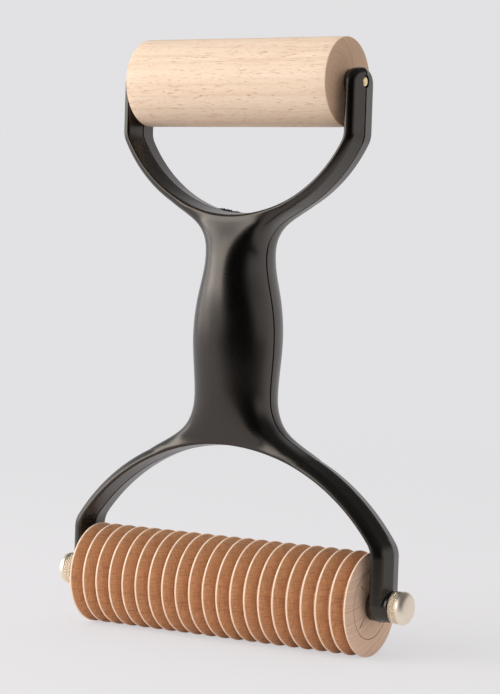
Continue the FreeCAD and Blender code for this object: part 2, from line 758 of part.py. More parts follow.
def make_nut(name, side):
    """A cap nut: knurled band next to the arm, a fine groove, a smooth head with a low dome."""
    body = new_body(name)
    radius, length, dome = size("nut_radius"), size("nut_length"), size("nut_dome")
    knurl, groove = size("nut_knurl_length"), size("nut_groove")
    bore = size("thread_radius") + size("seat_clearance")
    depth = size("nut_bore_depth")
    straight = length - dome
    sketch = new_sketch(body, f"{name}_section", "XZ_Plane")
    points = [
        (0, bore), (0, radius), (knurl, radius), (knurl + groove, radius - groove),
        (knurl + 2 * groove, radius), (straight, radius), (length, 0), (depth, 0), (depth, bore),
    ]
    words = [
        ("0", "Sizes.thread_radius + Sizes.seat_clearance"),
        ("0", "Sizes.nut_radius"),
        ("Sizes.nut_knurl_length", "Sizes.nut_radius"),
        ("Sizes.nut_knurl_length + Sizes.nut_groove", "Sizes.nut_radius - Sizes.nut_groove"),
        ("Sizes.nut_knurl_length + 2 * Sizes.nut_groove", "Sizes.nut_radius"),
        ("Sizes.nut_length - Sizes.nut_dome", "Sizes.nut_radius"),
        ("Sizes.nut_length", "0"),
        ("Sizes.nut_bore_depth", "0"),
        ("Sizes.nut_bore_depth", "Sizes.thread_radius + Sizes.seat_clearance"),
    ]
    count = len(points)
    dome_index = 5
    for index in range(count):
        start, end = points[index], points[(index + 1) % count]
        if index == dome_index:
            reach = (radius ** 2 + dome ** 2) / (2 * dome)
            sketch.addGeometry(arc_between((length - reach, 0), start, end, True))
        else:
            sketch.addGeometry(line(start, end))

    def first_end(index):
        return 2 if index == dome_index else 1

    for index in range(count):
        following = (index + 1) % count
        last_end = 1 if index == dome_index else 2
        sketch.addConstraint(
            Sketcher.Constraint("Coincident", index, last_end, following, first_end(following))
        )
    for index, (across, up) in enumerate(words):
        drive(sketch, "DistanceX", -1, 1, index, first_end(index), points[index][0], across)
        drive(sketch, "DistanceY", -1, 1, index, first_end(index), points[index][1], up)
    sketch.addConstraint(Sketcher.Constraint("PointOnObject", dome_index, 3, -1))
    settle(sketch)
    turn(body, f"{name}_turned", sketch)
    place(body, f"-1 * {HALF_SPACING}")
    sign = "" if side > 0 else "-1 * "
    body.setExpression("Placement.Base.x", f"{sign}{NUT_SEAT}")
    if side < 0:
        body.Placement.Rotation = FreeCAD.Rotation(FreeCAD.Vector(0, 0, 1), 180)
    doc.recompute()
    return body


def check(parts):
    for item in doc.Objects:
        if {"Invalid", "Error"} & set(item.State):
            raise RuntimeError(f"{item.Label}: {item.State}")
    for item in parts:
        if item.Shape.isNull() or not item.Shape.isValid():
            raise RuntimeError(f"{item.Label} has no valid shape")


upper = Fork("upper")
lower = Fork("lower")
parts = [
    make_handle(lower, upper),
    make_plain_roller(),
    make_pin(),
    make_cutter_roller(),
    make_axle(),
    make_nut("cap_nut_right", 1),
    make_nut("cap_nut_left", -1),
]
doc.recompute()
check(parts)
os.makedirs("parts", exist_ok=True)
for part in parts:
    part.Shape.exportStep(f"parts/{part.Label}.step")
    print(part.Label, round(part.Shape.Volume, 1), "mm3,", len(part.Shape.Solids), "solid")
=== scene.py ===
import json
import math
from dataclasses import dataclass

import bpy
import numpy as np
from mathutils import Matrix, Vector


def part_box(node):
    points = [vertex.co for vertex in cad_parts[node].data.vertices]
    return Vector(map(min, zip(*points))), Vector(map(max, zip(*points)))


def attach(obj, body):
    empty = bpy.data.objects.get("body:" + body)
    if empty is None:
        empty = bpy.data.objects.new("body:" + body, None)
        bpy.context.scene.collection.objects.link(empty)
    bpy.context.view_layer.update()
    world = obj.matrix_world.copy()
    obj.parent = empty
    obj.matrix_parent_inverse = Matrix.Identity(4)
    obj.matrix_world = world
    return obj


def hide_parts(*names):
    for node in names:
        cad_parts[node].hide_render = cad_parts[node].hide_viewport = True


# The looks of a double-ended hand roller: a black enamelled die-cast handle, a plain and a
# grooved wooden roller, a steel pin and axle and two nickel-plated cap nuts. Shapes are worked
# out in millimetres in the row frame, where X runs along both rollers, the front is at -Y and
# Z is up. Meshes are made in metres.

MM = 0.001

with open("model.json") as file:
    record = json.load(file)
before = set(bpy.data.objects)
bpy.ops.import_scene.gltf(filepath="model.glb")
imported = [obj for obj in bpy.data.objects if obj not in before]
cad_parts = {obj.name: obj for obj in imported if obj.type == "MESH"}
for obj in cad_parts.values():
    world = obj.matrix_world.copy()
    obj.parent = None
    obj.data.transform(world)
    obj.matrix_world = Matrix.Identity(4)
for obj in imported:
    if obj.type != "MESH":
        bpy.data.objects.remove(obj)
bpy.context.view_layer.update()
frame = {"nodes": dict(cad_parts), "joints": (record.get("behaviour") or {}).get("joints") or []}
joints = {joint["name"]: joint for joint in frame["joints"]}


def axis_height(joint):
    """The height of a joint's axis."""
    return joints[joint]["pos_m"][2] / MM


def extent(node):
    """The low and high corners of a CAD node's box."""
    low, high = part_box(node)
    return low / MM, high / MM


def half_and_radius(node):
    """Half the length along X and the radius of a round CAD node."""
    high = extent(node)[1]
    return high.x, high.y


UPPER_AXIS = axis_height("plain_roller_spin")
LOWER_AXIS = axis_height("cutter_roller_spin")
PLAIN_HALF, PLAIN_RADIUS = half_and_radius("plain_roller")
CUTTER_HALF, CUTTER_RADIUS = half_and_radius("cutter_roller")
PIN_HALF, PIN_RADIUS = half_and_radius("plain_roller_pin")
HANDLE_LOW, HANDLE_HIGH = extent("handle_casting")
FLOOR_HEIGHT = extent("cutter_roller")[0].z


# ---------------------------------------------------------------- meshes

SHARP_ANGLE = math.radians(35)


def new_object(name, vertices, faces, material, sharp_angle=None):
    """A smooth mesh from vertices in millimetres, with sharp edges above an angle."""
    mesh = bpy.data.meshes.new(name)
    mesh.from_pydata((np.asarray(vertices) * MM).tolist(), [], faces)
    mesh.validate()
    mesh.polygons.foreach_set("use_smooth", [True] * len(mesh.polygons))
    if sharp_angle:
        mesh.set_sharp_from_angle(angle=sharp_angle)
    mesh.materials.append(material)
    mesh.update()
    thing = bpy.data.objects.new(name, mesh)
    bpy.context.scene.collection.objects.link(thing)
    return thing


def finish_piece(piece, node, body):
    """Say which body a piece rides on, which CAD node it replaces."""
    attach(piece, body)
    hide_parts(node)


def lathe(profile, steps, centre_height):
    """Vertices and faces of a profile of (x, radius) points turned about the X axis.

    A point of radius 0 is a pole. The profile runs so that its left side is the material.
    """
    vertices = []
    rings = []
    for x, radius in profile:
        start = len(vertices)
        if radius == 0:
            vertices.append((x, 0, centre_height))
            rings.append([start])
            continue
        for step in range(steps):
            angle = 2 * math.pi * step / steps
            across, up = radius * math.cos(angle), radius * math.sin(angle)
            vertices.append((x, across, centre_height + up))
        rings.append(list(range(start, start + steps)))
    faces = []
    for ring, following in zip(rings, rings[1:]):
        for step in range(steps):
            after = (step + 1) % steps
            if len(ring) == 1:
                faces.append((ring[0], following[after], following[step]))
            elif len(following) == 1:
                faces.append((ring[step], ring[after], following[0]))
            else:
                faces.append((ring[step], ring[after], following[after], following[step]))
    return vertices, faces


def arc_points(centre, radius, start, end, count):
    """Points of a round stretch of a profile, angles in degrees, both ends included."""
    points = []
    for step in range(count + 1):
        angle = math.radians(start + (end - start) * step / count)
        points.append((centre[0] + radius * math.cos(angle), centre[1] + radius * math.sin(angle)))
    return points


def mirror_image(rows):
    """The profile of the right end that mirrors a left end's profile."""
    return [(-x, radius) for x, radius in reversed(rows)]


# ---------------------------------------------------------------- the casting as a distance field

def round_meet(a, b, radius):
    """Where both solids are: the edge between them is rounded."""
    inside = np.minimum(np.maximum(a, b), -radius)
    return inside + np.hypot(np.maximum(a + radius, 0), np.maximum(b + radius, 0))


def blend_join(a, b, reach):
    """Both solids together, with a soft hollow where they meet."""
    overlap = np.maximum(reach - np.abs(a - b), 0)
    return np.minimum(a, b) - overlap ** 2 / (4 * reach)


def cut(solid, tool, radius):
    """The solid without the tool, with rounded rims."""
    return round_meet(solid, -tool, radius)


def smooth_curve(stations, column):
    """A natural cubic spline through one column of the stations, as a function of height."""
    z = np.array([station[0] for station in stations])
    value = np.array([station[column] for station in stations])
    count = len(z)
    gap = np.diff(z)
    system = np.eye(count)
    right = np.zeros(count)
    for row in range(1, count - 1):
        system[row, row - 1] = gap[row - 1]
        system[row, row] = 2 * (gap[row - 1] + gap[row])
        system[row, row + 1] = gap[row]
        slope_after = (value[row + 1] - value[row]) / gap[row]
        slope_before = (value[row] - value[row - 1]) / gap[row - 1]
        right[row] = 6 * (slope_after - slope_before)
    bend = np.linalg.solve(system, right)

    def evaluate(height):
        height = np.clip(height, z[0], z[-1])
        index = np.clip(np.searchsorted(z, height) - 1, 0, count - 2)
        width = gap[index]
        before = (z[index + 1] - height) / width
        after = (height - z[index]) / width
        curve = (before ** 3 - before) * bend[index] + (after ** 3 - after) * bend[index + 1]
        return before * value[index] + after * value[index + 1] + curve * width ** 2 / 6

    return evaluate


@dataclass
class Fork:
    """Sizes of one fork, from which its arches and tips are worked out."""

    up: int  # 1 where the fork opens upwards, -1 where it opens downwards
    axis: float  # height of its roller's axis
    roller_end: float  # half its roller's length
    end_gap: float  # from the roller's end to the arm
    arch_margin: float  # how much the inner arch's radius exceeds its half width
    arch_rise: float  # from the roller's axis to the arches' centre, away from the grip
    wall: float  # thickness at the crotch, along the front edge
    arm_wall: float  # thickness of the arms, along the front edge
    ridge: float  # how far the parting line stands out beyond the front edge
    tip_reach: float  # from the roller's axis to the arms' tips
    bend: float  # inner radius where the arch meets the straight arms
    outer_bend: float  # outer radius there
    boss: float  # radius of the boss round the hole
    boss_top: float  # from the arm's parting line out to the boss's end
    edge: float  # rounding of the outer edges

    def __post_init__(self):
        self.gap = self.roller_end + self.end_gap
        self.radius = self.gap + self.arch_margin
        self.centre = self.axis + self.up * self.arch_rise
        self.crotch = self.centre - self.up * self.radius
        self.outer = self.gap + self.arm_wall + self.ridge
        self.outer_radius = self.radius + self.wall + self.ridge
        self.tip = self.axis + self.up * self.tip_reach


UPPER_FORK = Fork(
    up=1, axis=UPPER_AXIS, roller_end=PLAIN_HALF,
    end_gap=2.65, arch_margin=5.4, arch_rise=3.05, wall=3.6, arm_wall=3.8, ridge=1.25,
    tip_reach=5.2, bend=7.0, outer_bend=9.0, boss=4.6, boss_top=-1.25, edge=2.4,
)
LOWER_FORK = Fork(
    up=-1, axis=LOWER_AXIS, roller_end=CUTTER_HALF,
    end_gap=2.6, arch_margin=13.4, arch_rise=23.1, wall=3.6, arm_wall=4.4, ridge=1.75,
    tip_reach=5.8, bend=8.5, outer_bend=10.0, boss=5.6, boss_top=0.5, edge=3.4,
)
FORKS = (UPPER_FORK, LOWER_FORK)
FORK_HALF_DEPTH = 8.5
TIP_ROUND = 5.2
INNER_DRAFT = 0.8
RIM_ROUND = 1.0
GRIP_END_ROUND = 2.0
GRIP_BLEND = 3.0

BOSS_END_PLAY = 0.7
BOSS_ROUND = 0.3
BOSS_BLEND = 0.8
HOLE_ROUND = 0.15
AXLE_HOLE_RADIUS = 2.52
PIN_MOUTH_RADIUS = 2.25
PIN_MOUTH_FLOOR = PIN_HALF - 1.3
PIN_MOUTH_FLOOR_SLOPE = 0.9  # how fast the field rises below the floor, per millimetre

# The parting line is a fine groove. Outside, it fades out on the lower arms between two heights.
PARTING_GROOVE_DEPTH = 0.42
PARTING_GROOVE_HALF_WIDTH = 0.45
PARTING_FADE = (-70.5, -68.5)
PARTING_FAINTEST = 0.1

# Oval grip sections from the lower to the upper crotch: height, half width, half depth and
# squareness (2 is an ellipse).
GRIP_SECTIONS = [
    (LOWER_FORK.crotch - 3.0, 33.0, 8.2, 5.0),
    (LOWER_FORK.crotch + 1.5, 26.0, 9.1, 4.2),
    (LOWER_FORK.crotch + 5.5, 20.5, 10.8, 3.3),
    (LOWER_FORK.crotch + 10.0, 17.0, 12.7, 2.7),
    (LOWER_FORK.crotch + 15.0, 15.2, 14.4, 2.4),
    (LOWER_FORK.crotch + 22.0, 14.8, 15.7, 2.25),
    (LOWER_FORK.crotch + 30.5, 15.3, 16.8, 2.2),
    (LOWER_FORK.crotch + 39.0, 15.6, 17.6, 2.2),
    (UPPER_FORK.crotch - 37.5, 14.9, 17.8, 2.2),
    (UPPER_FORK.crotch - 29.0, 13.2, 17.4, 2.2),
    (UPPER_FORK.crotch - 21.5, 11.6, 16.3, 2.2),
    (UPPER_FORK.crotch - 15.5, 11.2, 15.1, 2.3),
    (UPPER_FORK.crotch - 9.5, 12.6, 13.1, 2.6),
    (UPPER_FORK.crotch - 5.0, 15.8, 11.1, 3.2),
    (UPPER_FORK.crotch - 1.0, 20.5, 9.5, 4.2),
    (UPPER_FORK.crotch + 3.0, 26.0, 8.3, 5.0),
]
GRIP_BOTTOM, GRIP_TOP = GRIP_SECTIONS[0][0], GRIP_SECTIONS[-1][0]
GRIP_WIDTH, GRIP_DEPTH, GRIP_SQUARENESS = (smooth_curve(GRIP_SECTIONS, k) for k in (1, 2, 3))


def arch_field(x, rise, half_width, radius, bend):
    """Flat distance to an arch that is round below, with straight sides above its bends."""
    core_width, core_radius = half_width - bend, radius - bend
    corner = -math.sqrt(core_radius ** 2 - core_width ** 2)
    core = np.maximum(x - core_width, np.hypot(x, np.minimum(rise, 0)) - core_radius)
    away_x, away_rise = x - core_width, rise - corner
    past_bowl = away_rise * core_width - away_x * corner > 0
    at_bend = past_bowl & (away_rise < 0)
    return np.where(at_bend, np.hypot(away_x, away_rise), core) - bend


def fork_solid(fork, x, y, z):
    """The fork before its arms are parted, narrower towards the front by the casting's draft."""
    rise = fork.up * (z - fork.centre)
    outline = arch_field(x, rise, fork.outer, fork.outer_radius, fork.outer_bend)
    draft = fork.ridge * y / FORK_HALF_DEPTH
    front = y - FORK_HALF_DEPTH
    end = fork.up * (z - fork.tip) + draft
    return round_meet(outline + draft, round_meet(end, front, TIP_ROUND), fork.edge)


def fork_gap(fork, x, y, z):
    """The space between the arms, wider towards the front by the casting's draft."""
    rise = fork.up * (z - fork.centre)
    draft = INNER_DRAFT * y / FORK_HALF_DEPTH
    return arch_field(x, rise, fork.gap, fork.radius, fork.bend) - draft


def grip_solid(x, y, z):
    """The grip: an oval whose width, depth and squareness change along it."""
    width, depth, power = GRIP_WIDTH(z), GRIP_DEPTH(z), GRIP_SQUARENESS(z)
    across = np.maximum(x, 1e-3) / width
    through = np.maximum(y, 1e-3) / depth
    norm = (across ** power + through ** power) ** (1 / power)
    slope_x = (across / norm) ** (power - 1) / width
    slope_y = (through / norm) ** (power - 1) / depth
    oval = (norm - 1) / np.hypot(slope_x, slope_y)
    length = np.maximum(z - GRIP_TOP, GRIP_BOTTOM - z)
    return round_meet(oval, length, GRIP_END_ROUND)


def boss_solid(fork, x, y, z):
    """The boss round the hole in an arm, which reaches inwards almost to the roller's end."""
    round_side = np.hypot(y, z - fork.axis) - fork.boss
    inner = fork.roller_end + BOSS_END_PLAY - x
    outer = x - (fork.outer + fork.boss_top)
    return round_meet(round_side, np.maximum(inner, outer), BOSS_ROUND)


def casting_field(x, y, z):
    """Signed distance-like field of one quarter of the handle, negative inside."""
    solid = grip_solid(x, y, z)
    for fork in FORKS:
        solid = blend_join(solid, fork_solid(fork, x, y, z), GRIP_BLEND)
    groove = PARTING_GROOVE_DEPTH * np.maximum(1 - y / PARTING_GROOVE_HALF_WIDTH, 0)
    fade_start, fade_end = PARTING_FADE
    solid = solid + groove * np.clip((z - fade_start) / (fade_end - fade_start), PARTING_FAINTEST, 1)
    for fork in FORKS:
        solid = cut(solid, fork_gap(fork, x, y, z) - groove, RIM_ROUND)
        solid = blend_join(solid, boss_solid(fork, x, y, z), BOSS_BLEND)
    mouth = np.hypot(y, z - UPPER_AXIS) - PIN_MOUTH_RADIUS
    floor = PIN_MOUTH_FLOOR_SLOPE * (PIN_MOUTH_FLOOR - x)
    solid = cut(solid, np.maximum(mouth, floor), HOLE_ROUND)
    hole = np.hypot(y, z - LOWER_AXIS) - AXLE_HOLE_RADIUS
    return cut(solid, hole, HOLE_ROUND)


# ---------------------------------------------------------------- the casting's mesh

CELL_GROWTH = 0.3  # how much larger cells may get per millimetre beyond a fine span


def graded(start, end, step, fine):
    """Places from half a step before start to end, closer together within the fine spans."""
    places = [start - step / 2]
    for low, high, small in fine:
        if low <= start <= high:
            places = [start - small / 2]
    while places[-1] < end:
        here = places[-1]
        wanted = step
        for low, high, small in fine:
            away = max(low - here, here - high, 0)
            wanted = min(wanted, small + CELL_GROWTH * away)
        places.append(here + wanted)
    return np.array(places)


CELL_CORNERS = [
    (0, 0, 0), (1, 0, 0), (0, 1, 0), (1, 1, 0), (0, 0, 1), (1, 0, 1), (0, 1, 1), (1, 1, 1),
]
CELL_EDGES = [  # pairs of cell corners
    (0, 1), (2, 3), (4, 5), (6, 7), (0, 2), (1, 3), (4, 6), (5, 7), (0, 4), (1, 5), (2, 6), (3, 7),
]


def net_vertices(field, cells, axes):
    """One vertex in each cell, amid the points where the surface crosses the cell's edges."""
    values = np.stack([field[tuple((cells + corner).T)] for corner in CELL_CORNERS], 1)
    sums = np.zeros((len(cells), 3))
    hits = np.zeros(len(cells))
    for first, second in CELL_EDGES:
        a, b = values[:, first], values[:, second]
        crossing = (a < 0) != (b < 0)
        share = np.where(crossing, a / np.where(crossing, a - b, 1), 0)
        start = np.array(CELL_CORNERS[first], float)
        step = np.array(CELL_CORNERS[second], float) - start
        sums += crossing[:, None] * (start + share[:, None] * step)
        hits += crossing
    local = cells + sums / hits[:, None]
    columns = [np.interp(local[:, k], np.arange(len(axes[k])), axes[k]) for k in range(3)]
    return np.stack(columns, 1)


def net_quads(inside, number, k):
    """Quads round the grid edges along axis k that the surface crosses, facing outwards.

    inside says which samples lie in the solid, and number is the vertex of each cell.
    """
    a, b = [axis for axis in range(3) if axis != k]
    places = np.argwhere(np.diff(inside, axis=k))
    within = (places > 0) & (places < number.shape)
    places = places[within[:, a] & within[:, b]]
    corners = []
    for step_a, step_b in ((-1, -1), (0, -1), (0, 0), (-1, 0)):
        cell = places.copy()
        cell[:, a] += step_a
        cell[:, b] += step_b
        corners.append(number[tuple(cell.T)])
    quads = np.stack(corners, 1)
    turned = inside[tuple(places.T)] == (k == 1)
    quads[turned] = quads[turned][:, ::-1]
    return quads


def surface_net(field, axes):
    """Vertices and quads along the zero surface of a sampled field, and each vertex's cell."""
    inside = field < 0
    shape = [size - 1 for size in field.shape]
    count = np.zeros(shape, np.int8)
    for corner in CELL_CORNERS:
        count += inside[tuple(slice(c, c + size) for c, size in zip(corner, shape))]
    cells = np.argwhere((count > 0) & (count < len(CELL_CORNERS)))
    number = np.full(shape, -1, np.int64)
    number[tuple(cells.T)] = np.arange(len(cells))
    quads = np.concatenate([net_quads(inside, number, k) for k in range(3)])
    return net_vertices(field, cells, axes), quads, cells


def mirrored(points, faces, on_plane, axis):
    """The mesh and its mirror image across an axis plane, joined along the points on it.

    Each row of points is a place and the surface's outward direction there.
    """
    copies = np.arange(len(points))
    moved = np.flatnonzero(~on_plane)
    copies[moved] = len(points) + np.arange(len(moved))
    image = points[moved].copy()
    image[:, [axis, axis + 3]] *= -1
    return np.concatenate([points, image]), np.concatenate([faces, copies[faces][:, ::-1]])


GATE_SCAR_PLACE = (-8.5, 7.0)
GATE_SCAR_SIZE = (5.5, 1.9)
GATE_SCAR_EDGE = 1.3  # where it runs out, in shares of its size
GATE_SCAR_HEIGHT = 0.6
GATE_SCAR_SPAN = (UPPER_FORK.crotch - 1.5, UPPER_FORK.crotch + 3)


def gate_scar(x, y, z):
    """How high the rough spot stands where the casting was broken off its runner."""
    away_x, away_y = x - GATE_SCAR_PLACE[0], y - GATE_SCAR_PLACE[1]
    away = np.hypot(away_x / GATE_SCAR_SIZE[0], away_y / GATE_SCAR_SIZE[1])
    rough = np.sin(2.9 * x + 1.7 * y) * np.sin(3.7 * y - 1.3 * x) + 0.6 * np.sin(6.1 * x)
    on_crotch = (z > GATE_SCAR_SPAN[0]) & (z < GATE_SCAR_SPAN[1])
    height = np.clip(GATE_SCAR_EDGE - away, 0, GATE_SCAR_HEIGHT)
    return np.where(on_crotch, height * (0.7 + 0.8 * rough), 0)


def field_slope(points, on_x, on_y, reach):
    """The casting field's gradient at points, kept level across the mirror planes."""
    x, y, z = points.T
    slope = np.stack([
        casting_field(x + reach, y, z) - casting_field(x - reach, y, z),
        casting_field(x, y + reach, z) - casting_field(x, y - reach, z),
        casting_field(x, y, z + reach) - casting_field(x, y, z - reach),
    ], 1) / (2 * reach)
    slope[on_x, 0] = 0
    slope[on_y, 1] = 0
    return slope


SETTLING_TURNS = 3
SETTLING_REACH = 0.04
SETTLING_LARGEST_MOVE = 0.2
NORMAL_REACH = 0.1


def settle_on_field(points, on_x, on_y):
    """Move surface net points onto the exact zero surface, keeping those on a mirror plane."""
    for turn in range(SETTLING_TURNS):
        slope = field_slope(points, on_x, on_y, SETTLING_REACH)
        steep = np.maximum((slope ** 2).sum(1), 0.25)
        move = -(casting_field(*points.T) / steep)[:, None] * slope
        length = np.linalg.norm(move, axis=1)
        move *= np.minimum(1, SETTLING_LARGEST_MOVE / np.maximum(length, 1e-9))[:, None]
        points += move
    return points


# Cell sizes for the casting's field: along the grip, at the forks, and in the fine spans at the
# pin's mouths and the axle's holes. The parting line has its own.
GRIP_CELL, FORK_CELL, FINE_CELL = ((0.8, 0.38, 0.2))
PARTING_CELL = 0.15
FIELD_MARGIN = 1.2
MOUTH_SPAN = (48.5, 51)
PARTING_SPAN = (0, 0.3)
HOLE_SPAN = (0.3, 2.6)
HOLE_REACH = 2.8


def casting_grid():
    """Sample places along X, Y and Z for one quarter of the casting."""
    x_end, y_end = HANDLE_HIGH.x + FIELD_MARGIN, HANDLE_HIGH.y + FIELD_MARGIN
    low, high = HANDLE_LOW.z - FIELD_MARGIN, HANDLE_HIGH.z + FIELD_MARGIN
    across = graded(0, x_end, FORK_CELL, [(*MOUTH_SPAN, FINE_CELL)])
    through = graded(0, y_end, FORK_CELL, [(*PARTING_SPAN, PARTING_CELL), (*HOLE_SPAN, FINE_CELL)])
    fine = [(fork.axis - HOLE_REACH, fork.axis + HOLE_REACH, FINE_CELL) for fork in FORKS]
    fine += [(low, GRIP_SECTIONS[3][0], FORK_CELL), (GRIP_SECTIONS[-4][0], high, FORK_CELL)]
    return across, through, graded(low, high, GRIP_CELL, fine)


def make_casting(material):
    """The handle's surface: a quarter settled on its field, then mirrored twice."""
    axes = casting_grid()
    field = casting_field(*np.meshgrid(*axes, indexing="ij", sparse=True))
    vertices, faces, cells = surface_net(field, axes)
    on_x, on_y = cells[:, 0] == 0, cells[:, 1] == 0
    vertices[on_x, 0] = 0
    vertices[on_y, 1] = 0
    vertices = settle_on_field(vertices, on_x, on_y)
    outward = field_slope(vertices, on_x, on_y, NORMAL_REACH)
    outward /= np.maximum(np.linalg.norm(outward, axis=1), 1e-9)[:, None]
    points, faces = mirrored(np.hstack([vertices, outward]), faces, on_x, 0)
    points, faces = mirrored(points, faces, np.concatenate([on_y, on_y[~on_x]]), 1)
    vertices, outward = points[:, :3], points[:, 3:]
    scar = gate_scar(*vertices.T)
    vertices[:, 2] += scar
    casting = new_object("handle_enamel", vertices, faces.tolist(), material)
    # The scar isn't in the field, so its vertices keep the mesh's own normals.
    plain = np.zeros(len(vertices) * 3)
    casting.data.vertex_normals.foreach_get("vector", plain)
    outward = np.where((scar != 0)[:, None], plain.reshape(-1, 3), outward)
    casting.data.normals_split_custom_set_from_vertices(outward.tolist())
    finish_piece(casting, "handle_casting", "handle")


# ---------------------------------------------------------------- rollers, pin, axle and nuts

END_SHARES = (0.3, 0.5, 0.7, 0.85)
PLAIN_STEPS = 128
PLAIN_EDGE = 0.45
PLAIN_BORE = 1.83
PLAIN_BODY_INSET = 6


def make_plain_roller(material):
    """A plain cylinder with softly rounded rims."""
    inner, rim = PLAIN_HALF - PLAIN_EDGE, PLAIN_RADIUS - PLAIN_EDGE
    body_half = PLAIN_HALF - PLAIN_BODY_INSET
    end = [(-PLAIN_HALF, PLAIN_BORE)]
    end += [(-PLAIN_HALF, PLAIN_RADIUS * share) for share in END_SHARES]
    end += arc_points((-inner, rim), PLAIN_EDGE, 180, 90, 4)
    rows = end + [(x, PLAIN_RADIUS) for x in np.linspace(-body_half, body_half, 13)]
    rows += mirror_image(end) + end[:1]
    vertices, faces = lathe(rows, PLAIN_STEPS, UPPER_AXIS)
    roller = new_object("plain_roller_wood", vertices, faces, material, SHARP_ANGLE)
    finish_piece(roller, "plain_roller", "plain_roller")


STRIP_COUNT = 20
LAND_WIDTH = 0.72
LAND_EDGE = 0.14
LAND_SIDE = 0.1
STRIP_PITCH = (2 * CUTTER_HALF - LAND_WIDTH) / STRIP_COUNT
GROOVE_DEPTH = 4.4
GROOVE_FLOOR_HALF = 0.35
CUTTER_STEPS = 160
CUTTER_BORE = 3.58
SCRIBED_RADIUS = 12.5
SCRIBED_HALF_WIDTH = 0.2
SCRIBED_DEPTH = 0.16
SLIT_INNER = 5.0
SLIT_OUTER = 10.5
SLIT_WALL = 0.3
SLIT_DEPTH = 1.8
SLIT_TURNS = (45, 135, 225, 315)


def cutter_end():
    """The grooved roller's left end from the bore outwards, with a scribed circle.

    The rings from SLIT_INNER to SLIT_OUTER are those that the slits are cut into.
    """
    rings = [CUTTER_BORE, 4.2, SLIT_INNER - SLIT_WALL, SLIT_INNER, 6.5, 8.0, 9.5]
    rings += [SLIT_OUTER, SLIT_OUTER + SLIT_WALL]
    rows = [(-CUTTER_HALF, radius) for radius in rings]
    rows.append((-CUTTER_HALF, SCRIBED_RADIUS - SCRIBED_HALF_WIDTH))
    rows.append((-CUTTER_HALF + SCRIBED_DEPTH, SCRIBED_RADIUS))
    rows.append((-CUTTER_HALF, SCRIBED_RADIUS + SCRIBED_HALF_WIDTH))
    return rows + [(-CUTTER_HALF, radius) for radius in (14.5, 16.5, 18.0)]


def cutter_groove(left, right):
    """The V groove between two lands, with a narrow flat floor."""
    lip = CUTTER_RADIUS - LAND_EDGE - LAND_SIDE
    floor = CUTTER_RADIUS - GROOVE_DEPTH
    middle = (left + right) / 2
    near, far = middle - GROOVE_FLOOR_HALF, middle + GROOVE_FLOOR_HALF
    rows = []
    for share in (0.33, 0.66, 1.0):
        rows.append((left + share * (near - left), lip + share * (floor - lip)))
    for share in (0.0, 0.34, 0.67):
        rows.append((far + share * (right - far), floor + share * (lip - floor)))
    return rows


def make_cutter_roller(material):
    """The roller with thin lands between V grooves, and a cross of four slits in each end."""
    rim = CUTTER_RADIUS - LAND_EDGE
    rows = cutter_end()
    for land in range(STRIP_COUNT + 1):
        left = -CUTTER_HALF + land * STRIP_PITCH
        right = left + LAND_WIDTH
        rows += arc_points((left + LAND_EDGE, rim), LAND_EDGE, 180, 90, 3)
        rows += arc_points((right - LAND_EDGE, rim), LAND_EDGE, 90, 0, 3)
        if land < STRIP_COUNT:
            rows += cutter_groove(right, left + STRIP_PITCH)
    rows += mirror_image(cutter_end()) + rows[:1]
    vertices, faces = lathe(rows, CUTTER_STEPS, LOWER_AXIS)
    vertices = np.array(vertices)
    for turn in SLIT_TURNS:
        step = round(turn * CUTTER_STEPS / 360)
        for row, (x, radius) in enumerate(rows):
            if abs(x) == CUTTER_HALF and SLIT_INNER <= radius <= SLIT_OUTER:
                vertices[row * CUTTER_STEPS + step, 0] -= math.copysign(SLIT_DEPTH, x)
    roller = new_object("cutter_roller_wood", vertices, faces, material, SHARP_ANGLE)
    finish_piece(roller, "cutter_roller", "cutter_roller")


PIN_STEPS = 48
PIN_DOME = ((0, 0), (0.04, 0.5), (0.14, 0.8), (0.35, 1))  # depths and shares of the radius


def make_pin(material):
    """The plain roller's pin, with a low dome at each end."""
    end = [(depth - PIN_HALF, share * PIN_RADIUS) for depth, share in PIN_DOME]
    vertices, faces = lathe(end + mirror_image(end), PIN_STEPS, UPPER_AXIS)
    pin = new_object("plain_roller_pin_steel", vertices, faces, material, SHARP_ANGLE)
    finish_piece(pin, "plain_roller_pin", "handle")


KNURL_TEETH = 32
STEPS_PER_TOOTH = 8
NUT_STEPS = KNURL_TEETH * STEPS_PER_TOOTH
KNURL_DEPTH = 0.7
KNURL_ROWS = 12
KNURL_LEAN = 1.0
NUT_EDGE = 0.3
NUT_FACE = 3.0
NUT_GROOVE = 0.14
NUT_GROOVE_DEPTH = 0.34
NUT_SHOULDER = 2.5
NUT_DOME_LEAN = math.radians(16)
NUT_BORE = 2.52
NUT_BORE_DEPTH = 4.6
NUT_HEAD_INSET = 0.02
NUT_HEAD_RIM = ((0.1, 0.15), (0.3, NUT_HEAD_INSET))  # distances past the groove, and insets


